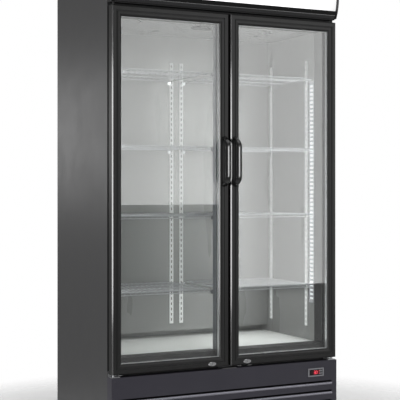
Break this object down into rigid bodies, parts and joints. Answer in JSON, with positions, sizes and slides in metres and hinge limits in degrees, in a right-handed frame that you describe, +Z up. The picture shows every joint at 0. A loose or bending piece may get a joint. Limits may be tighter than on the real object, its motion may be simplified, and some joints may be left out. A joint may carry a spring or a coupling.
{
  "type": "glass door merchandiser",
  "caption": "Upright display refrigerator with hinged glass doors, wire shelves, a lit canopy and a louvred machine compartment.",
  "frame": {"origin": "on the floor, under the middle of the outer box", "axes": "+Z up, +X to the right of someone facing the doors, +Y to the back"},
  "size_m": [1.12, 0.71, 2.09],
  "materials": {
    "grey_coat": "satin",
    "black_coat": "satin",
    "door_extrusion": "satin",
    "charcoal_coat": "satin",
    "white_liner": "satin",
    "insulation": "matte",
    "black_plastic": "satin",
    "dull_plastic": "matte",
    "opal_acrylic": "satin",
    "lamp_white": "satin",
    "clear_glass": "gloss",
    "gasket_rubber": "matte",
    "chrome_plate": "polished",
    "zinc_steel": "satin",
    "coil_aluminium": "satin",
    "compressor_black": "satin",
    "shelf_coat": "satin"
  },
  "bodies": {
    "cabinet": {"left_side_panel": "grey_coat", "right_side_panel": "grey_coat", "top_panel": "grey_coat", "back_panel": "grey_coat", "rear_grille": "grey_coat", "face_frame": "black_coat", "center_mullion": "black_coat", "canopy_housing": "black_coat", "top_hinge_rail": "black_coat", "front_grille": "charcoal_coat", "liner_left_wall": "white_liner", "liner_right_wall": "white_liner", "liner_back_wall": "white_liner", "liner_floor": "white_liner", "liner_top": "white_liner", "rear_duct_panel": "white_liner", "ceiling_panel": "white_liner", "insulation_foam": "insulation", "canopy_end_cap_left": "black_plastic", "canopy_end_cap_right": "black_plastic", "temperature_controller": "black_plastic", "power_inlet": "black_plastic", "drain_tray": "dull_plastic", "canopy_diffuser": "opal_acrylic", "canopy_light": "lamp_white", "light_strip_left": "lamp_white", "light_strip_right": "lamp_white", "bottom_hinge_left": "chrome_plate", "bottom_hinge_right": "chrome_plate", "center_keeper": "chrome_plate", "base_pan": "zinc_steel", "machine_deck": "zinc_steel", "condenser_fan_motor": "zinc_steel", "condenser_coil": "coil_aluminium", "evaporator_coil": "coil_aluminium", "compressor": "compressor_black"},
    "left_door": {"left_door_frame": "door_extrusion", "left_glass_unit": "clear_glass", "left_door_gasket": "gasket_rubber", "left_door_handle": "black_plastic"},
    "right_door": {"right_door_frame": "door_extrusion", "right_glass_unit": "clear_glass", "right_door_gasket": "gasket_rubber", "right_door_handle": "black_plastic"},
    "left_lock": {"left_door_lock": "chrome_plate"},
    "right_lock": {"right_door_lock": "chrome_plate"},
    "condenser_fan": {"condenser_fan_blade": "dull_plastic"},
    "evaporator_fan": {"evaporator_fan_blade": "dull_plastic"},
    "foot_front_left": {"foot_front_left": "zinc_steel"},
    "foot_front_right": {"foot_front_right": "zinc_steel"},
    "foot_rear_left": {"foot_rear_left": "zinc_steel"},
    "foot_rear_right": {"foot_rear_right": "zinc_steel"},
    "shelf_left_1": {"shelf_left_1": "shelf_coat"},
    "shelf_left_2": {"shelf_left_2": "shelf_coat"},
    "shelf_left_3": {"shelf_left_3": "shelf_coat"},
    "shelf_left_4": {"shelf_left_4": "shelf_coat"},
    "shelf_right_1": {"shelf_right_1": "shelf_coat"},
    "shelf_right_2": {"shelf_right_2": "shelf_coat"},
    "shelf_right_3": {"shelf_right_3": "shelf_coat"},
    "shelf_right_4": {"shelf_right_4": "shelf_coat"}
  },
  "joints": [
    {"name": "left_door_hinge", "type": "hinge", "parent": "cabinet", "child": "left_door", "pos_m": [-0.545, -0.293, 1.1135], "axis": [0, 0, -1], "range_deg": [0, 95], "stiffness_Nm_per_rad": 3, "springref_deg": -20.05},
    {"name": "right_door_hinge", "type": "hinge", "parent": "cabinet", "child": "right_door", "pos_m": [0.545, -0.293, 1.1135], "axis": [0, 0, 1], "range_deg": [0, 95], "stiffness_Nm_per_rad": 3, "springref_deg": -20.05},
    {"name": "left_lock_turn", "type": "hinge", "parent": "left_door", "child": "left_lock", "pos_m": [-0.0875, -0.305, 0.355], "axis": [0, -1, 0], "range_deg": [0, 90]},
    {"name": "right_lock_turn", "type": "hinge", "parent": "right_door", "child": "right_lock", "pos_m": [0.0875, -0.305, 0.355], "axis": [0, 1, 0], "range_deg": [0, 90]},
    {"name": "condenser_fan_spin", "type": "hinge", "parent": "cabinet", "child": "condenser_fan", "pos_m": [-0.182, -0.167, 0.192], "axis": [0, 1, 0], "continuous": true},
    {"name": "evaporator_fan_spin", "type": "hinge", "parent": "cabinet", "child": "evaporator_fan", "pos_m": [0, -0.115, 1.862], "axis": [0, 0, 1], "continuous": true},
    {"name": "level_front_left", "type": "slide", "parent": "cabinet", "child": "foot_front_left", "axis": [0, 0, -1], "range_m": [0, 0.012]},
    {"name": "level_front_right", "type": "slide", "parent": "cabinet", "child": "foot_front_right", "axis": [0, 0, -1], "range_m": [0, 0.012]},
    {"name": "level_rear_left", "type": "slide", "parent": "cabinet", "child": "foot_rear_left", "axis": [0, 0, -1], "range_m": [0, 0.012]},
    {"name": "level_rear_right", "type": "slide", "parent": "cabinet", "child": "foot_rear_right", "axis": [0, 0, -1], "range_m": [0, 0.012]},
    {"name": "shelf_left_1_lift", "type": "slide", "parent": "cabinet", "child": "shelf_left_1", "axis": [0, 0, 1], "range_m": [0, 0.012]},
    {"name": "shelf_left_2_lift", "type": "slide", "parent": "cabinet", "child": "shelf_left_2", "axis": [0, 0, 1], "range_m": [0, 0.012]},
    {"name": "shelf_left_3_lift", "type": "slide", "parent": "cabinet", "child": "shelf_left_3", "axis": [0, 0, 1], "range_m": [0, 0.012]},
    {"name": "shelf_left_4_lift", "type": "slide", "parent": "cabinet", "child": "shelf_left_4", "axis": [0, 0, 1], "range_m": [0, 0.012]},
    {"name": "shelf_right_1_lift", "type": "slide", "parent": "cabinet", "child": "shelf_right_1", "axis": [0, 0, 1], "range_m": [0, 0.012]},
    {"name": "shelf_right_2_lift", "type": "slide", "parent": "cabinet", "child": "shelf_right_2", "axis": [0, 0, 1], "range_m": [0, 0.012]},
    {"name": "shelf_right_3_lift", "type": "slide", "parent": "cabinet", "child": "shelf_right_3", "axis": [0, 0, 1], "range_m": [0, 0.012]},
    {"name": "shelf_right_4_lift", "type": "slide", "parent": "cabinet", "child": "shelf_right_4", "axis": [0, 0, 1], "range_m": [0, 0.012]}
  ]
}
